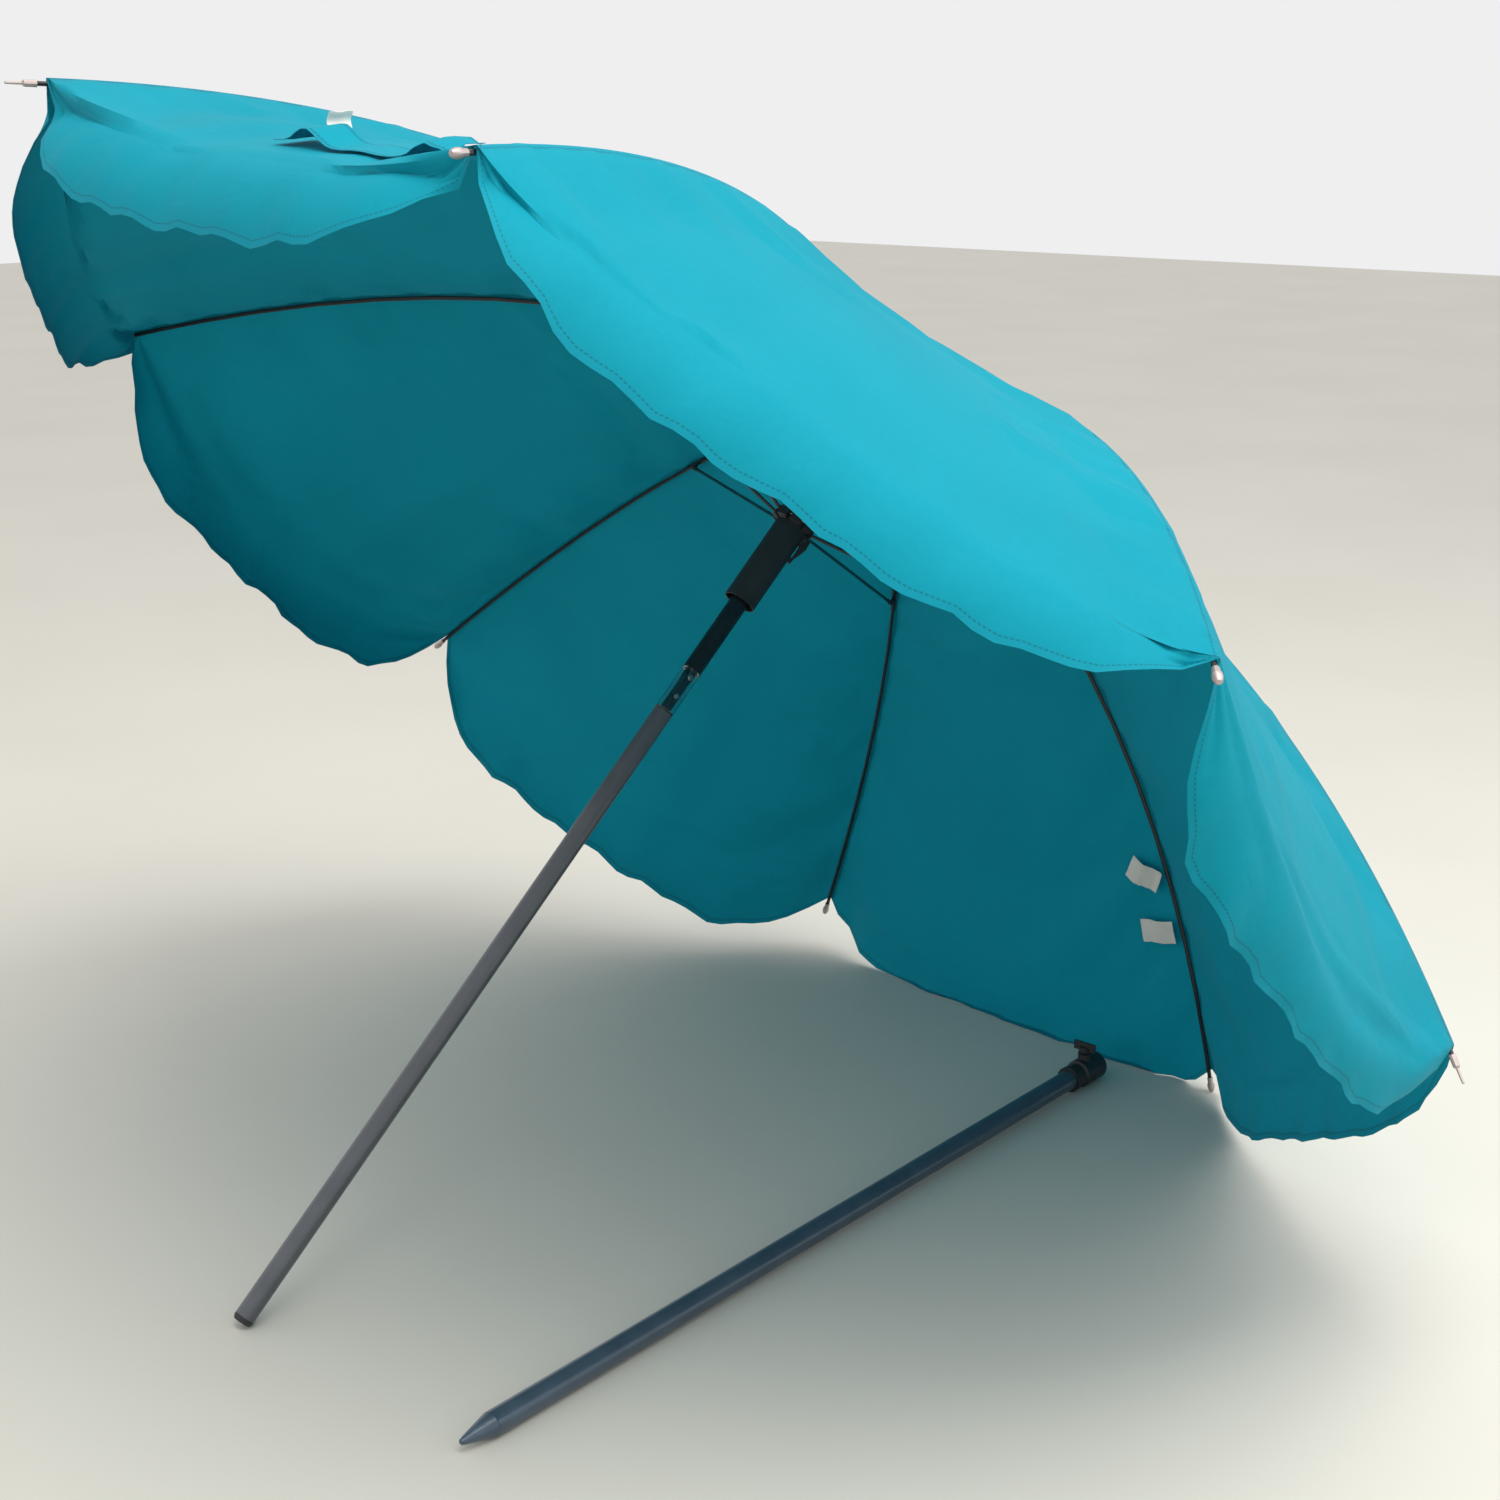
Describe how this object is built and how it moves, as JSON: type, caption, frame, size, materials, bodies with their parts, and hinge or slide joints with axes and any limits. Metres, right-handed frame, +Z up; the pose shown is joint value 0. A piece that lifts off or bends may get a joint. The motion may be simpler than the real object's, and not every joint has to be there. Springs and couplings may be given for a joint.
{
  "type": "beach umbrella",
  "caption": "Leaning open beach umbrella with a domed fabric canopy on folding ribs, a sliding runner, a tilting upper pole and a detached spiked lower pole with clamp",
  "frame": {"origin": "middle of the bounding box, on the ground that the pole foot, the canopy rim and the lower pole rest on", "axes": "+Z up; +X along the lower pole that lies on the ground, from its spike to its socket; the middle pole leans up from -X to +X, 10.7 degrees towards -Y"},
  "size_m": [1.3302, 1.7177, 1.2316],
  "materials": {
    "canopy_cloth": "woven polyester, piece dyed teal",
    "mid_tube": "grey powder-coated steel tube",
    "lower_tube": "blue-grey powder-coated steel tube",
    "upper_tube": "gloss black enamelled steel tube",
    "rib_steel": "black enamelled steel wire",
    "black_plastic": "moulded black nylon",
    "knuckle_steel": "blackened steel",
    "bright_steel": "zinc-plated steel",
    "tip_metal": "dull cast alloy",
    "clear_sleeve": "clear flexible vinyl",
    "label_tape": "blank woven label tape"
  },
  "bodies": {
    "base": {"mid_pole": "mid_tube", "foot_plug": "black_plastic", "tilt_lower_knuckle": "knuckle_steel", "tilt_stop_rivet": "bright_steel", "tilt_sleeve": "clear_sleeve"},
    "upper": {"upper_pole": "upper_tube", "tilt_upper_knuckle": "knuckle_steel", "tilt_pivot_rivet": "bright_steel", "crown_hub": "black_plastic", "crown_ring_wire": "bright_steel", "crown_cap": "black_plastic"},
    "runner": {"runner": "black_plastic", "runner_ring_wire": "bright_steel", "latch_pin": "bright_steel"},
    "latch": {"runner_latch": "black_plastic"},
    "ground_pole": {"lower_pole": "lower_tube", "ground_spike": "lower_tube", "clamp_collar": "black_plastic"},
    "knob": {"clamp_knob": "black_plastic"},
    "arm_1": {"rib_1": "rib_steel", "rib_tip_1": "tip_metal", "canopy_panel_1": "canopy_cloth"},
    "stay_1": {"stretcher_1": "rib_steel"},
    "arm_2": {"rib_2": "rib_steel", "rib_tip_2": "tip_metal", "canopy_panel_2": "canopy_cloth", "closure_strap": "canopy_cloth", "strap_tags": "label_tape"},
    "stay_2": {"stretcher_2": "rib_steel"},
    "arm_3": {"rib_3": "rib_steel", "rib_tip_3": "tip_metal", "canopy_panel_3": "canopy_cloth"},
    "stay_3": {"stretcher_3": "rib_steel"},
    "arm_4": {"rib_4": "rib_steel", "rib_tip_4": "tip_metal", "canopy_panel_4": "canopy_cloth"},
    "stay_4": {"stretcher_4": "rib_steel"},
    "arm_5": {"rib_5": "rib_steel", "rib_tip_5": "tip_metal", "canopy_panel_5": "canopy_cloth", "care_label_low": "label_tape", "care_label_high": "label_tape"},
    "stay_5": {"stretcher_5": "rib_steel"},
    "arm_6": {"rib_6": "rib_steel", "rib_tip_6": "tip_metal", "canopy_panel_6": "canopy_cloth"},
    "stay_6": {"stretcher_6": "rib_steel"},
    "arm_7": {"rib_7": "rib_steel", "rib_tip_7": "tip_metal", "canopy_panel_7": "canopy_cloth"},
    "stay_7": {"stretcher_7": "rib_steel"},
    "arm_8": {"rib_8": "rib_steel", "rib_tip_8": "tip_metal", "canopy_panel_8": "canopy_cloth"},
    "stay_8": {"stretcher_8": "rib_steel"}
  },
  "joints": [
    {"name": "canopy_tilt", "type": "hinge", "parent": "base", "child": "upper", "pos_m": [0.00889, -0.00464, 0.59295], "axis": [0.1857, 0.9826, 0], "range_deg": [-40, 0], "deforming": ["tilt_sleeve"]},
    {"name": "runner_slide", "type": "slide", "parent": "upper", "child": "runner", "axis": [-0.69, 0.1304, -0.7119], "range_m": [0, 0.5604]},
    {"name": "runner_latch_press", "type": "hinge", "parent": "runner", "child": "latch", "pos_m": [0.1589, -0.04666, 0.7264], "axis": [-0.5823, -0.6842, 0.4391], "range_deg": [0, 12], "stiffness_Nm_per_rad": 0.05},
    {"name": "ground_pole_pull", "type": "slide", "parent": "base", "child": "ground_pole", "axis": [-1, 0, 0], "range_m": [0, 0.3]},
    {"name": "clamp_knob_turn", "type": "hinge", "parent": "ground_pole", "child": "knob", "pos_m": [0.50229, -0.2332, 0.01776], "axis": [-0.005, 0, 1], "range_deg": [0, 360]},
    {"name": "rib_fold_1", "type": "hinge", "parent": "upper", "child": "arm_1", "pos_m": [0.26796, -0.04677, 0.89177], "axis": [-0.3735, -0.9067, 0.1959], "range_deg": [0, 61.5], "deforming": ["canopy_panel_1"]},
    {"name": "stretcher_fold_1", "type": "hinge", "parent": "arm_1", "child": "stay_1", "pos_m": [-0.01602, 0.11427, 1.09577], "axis": [-0.3735, -0.9067, 0.1959], "range_deg": [-117.83, 0]},
    {"name": "rib_fold_2", "type": "hinge", "parent": "upper", "child": "arm_2", "pos_m": [0.26598, -0.06498, 0.89036], "axis": [0.1743, -0.9247, -0.3383], "range_deg": [0, 61.5], "deforming": ["canopy_panel_2", "closure_strap", "strap_tags"]},
    {"name": "stretcher_fold_2", "type": "hinge", "parent": "arm_2", "child": "stay_2", "pos_m": [-0.0492, -0.19086, 1.07204], "axis": [0.1743, -0.9247, -0.3383], "range_deg": [-117.83, 0]},
    {"name": "rib_fold_3", "type": "hinge", "parent": "upper", "child": "arm_3", "pos_m": [0.27387, -0.07816, 0.88029], "axis": [0.62, -0.4011, -0.6744], "range_deg": [0, 61.5], "deforming": ["canopy_panel_3"]},
    {"name": "stretcher_fold_3", "type": "hinge", "parent": "arm_3", "child": "stay_3", "pos_m": [0.08313, -0.41175, 0.90333], "axis": [0.62, -0.4011, -0.6744], "range_deg": [-117.83, 0]},
    {"name": "rib_fold_4", "type": "hinge", "parent": "upper", "child": "arm_4", "pos_m": [0.28702, -0.07859, 0.86747], "axis": [0.7025, 0.3575, -0.6154], "range_deg": [0, 61.5], "deforming": ["canopy_panel_4"]},
    {"name": "stretcher_fold_4", "type": "hinge", "parent": "arm_4", "child": "stay_4", "pos_m": [0.30346, -0.419, 0.68845], "axis": [0.7025, 0.3575, -0.6154], "range_deg": [-117.83, 0]},
    {"name": "rib_fold_5", "type": "hinge", "parent": "upper", "child": "arm_5", "pos_m": [0.29772, -0.06603, 0.8594], "axis": [0.3735, 0.9067, -0.1959], "range_deg": [0, 61.5], "deforming": ["canopy_panel_5", "care_label_low", "care_label_high"]},
    {"name": "stretcher_fold_5", "type": "hinge", "parent": "arm_5", "child": "stay_5", "pos_m": [0.48271, -0.20837, 0.55328], "axis": [0.3735, 0.9067, -0.1959], "range_deg": [-117.83, 0]},
    {"name": "rib_fold_6", "type": "hinge", "parent": "upper", "child": "arm_6", "pos_m": [0.2997, -0.04782, 0.86082], "axis": [-0.1743, 0.9247, 0.3383], "range_deg": [0, 61.5], "deforming": ["canopy_panel_6"]},
    {"name": "stretcher_fold_6", "type": "hinge", "parent": "arm_6", "child": "stay_6", "pos_m": [0.51589, 0.09677, 0.577], "axis": [-0.1743, 0.9247, 0.3383], "range_deg": [-117.83, 0]},
    {"name": "rib_fold_7", "type": "hinge", "parent": "upper", "child": "arm_7", "pos_m": [0.2918, -0.03464, 0.87089], "axis": [-0.62, 0.4011, 0.6744], "range_deg": [0, 61.5], "deforming": ["canopy_panel_7"]},
    {"name": "stretcher_fold_7", "type": "hinge", "parent": "arm_7", "child": "stay_7", "pos_m": [0.38356, 0.31765, 0.74572], "axis": [-0.62, 0.4011, 0.6744], "range_deg": [-117.83, 0]},
    {"name": "rib_fold_8", "type": "hinge", "parent": "upper", "child": "arm_8", "pos_m": [0.27865, -0.0342, 0.88371], "axis": [-0.7025, -0.3575, 0.6154], "range_deg": [0, 61.5], "deforming": ["canopy_panel_8"]},
    {"name": "stretcher_fold_8", "type": "hinge", "parent": "arm_8", "child": "stay_8", "pos_m": [0.16323, 0.32491, 0.9606], "axis": [-0.7025, -0.3575, 0.6154], "range_deg": [-117.83, 0]}
  ],
  "couplings": [
    {"joint": "rib_fold_1", "follows": "runner_slide", "rad_per_m": 1.8998},
    {"joint": "stretcher_fold_1", "follows": "runner_slide", "rad_per_m": -3.6542},
    {"joint": "rib_fold_2", "follows": "runner_slide", "rad_per_m": 1.8998},
    {"joint": "stretcher_fold_2", "follows": "runner_slide", "rad_per_m": -3.6542},
    {"joint": "rib_fold_3", "follows": "runner_slide", "rad_per_m": 1.8998},
    {"joint": "stretcher_fold_3", "follows": "runner_slide", "rad_per_m": -3.6542},
    {"joint": "rib_fold_4", "follows": "runner_slide", "rad_per_m": 1.8998},
    {"joint": "stretcher_fold_4", "follows": "runner_slide", "rad_per_m": -3.6542},
    {"joint": "rib_fold_5", "follows": "runner_slide", "rad_per_m": 1.8998},
    {"joint": "stretcher_fold_5", "follows": "runner_slide", "rad_per_m": -3.6542},
    {"joint": "rib_fold_6", "follows": "runner_slide", "rad_per_m": 1.8998},
    {"joint": "stretcher_fold_6", "follows": "runner_slide", "rad_per_m": -3.6542},
    {"joint": "rib_fold_7", "follows": "runner_slide", "rad_per_m": 1.8998},
    {"joint": "stretcher_fold_7", "follows": "runner_slide", "rad_per_m": -3.6542},
    {"joint": "rib_fold_8", "follows": "runner_slide", "rad_per_m": 1.8998},
    {"joint": "stretcher_fold_8", "follows": "runner_slide", "rad_per_m": -3.6542}
  ]
}
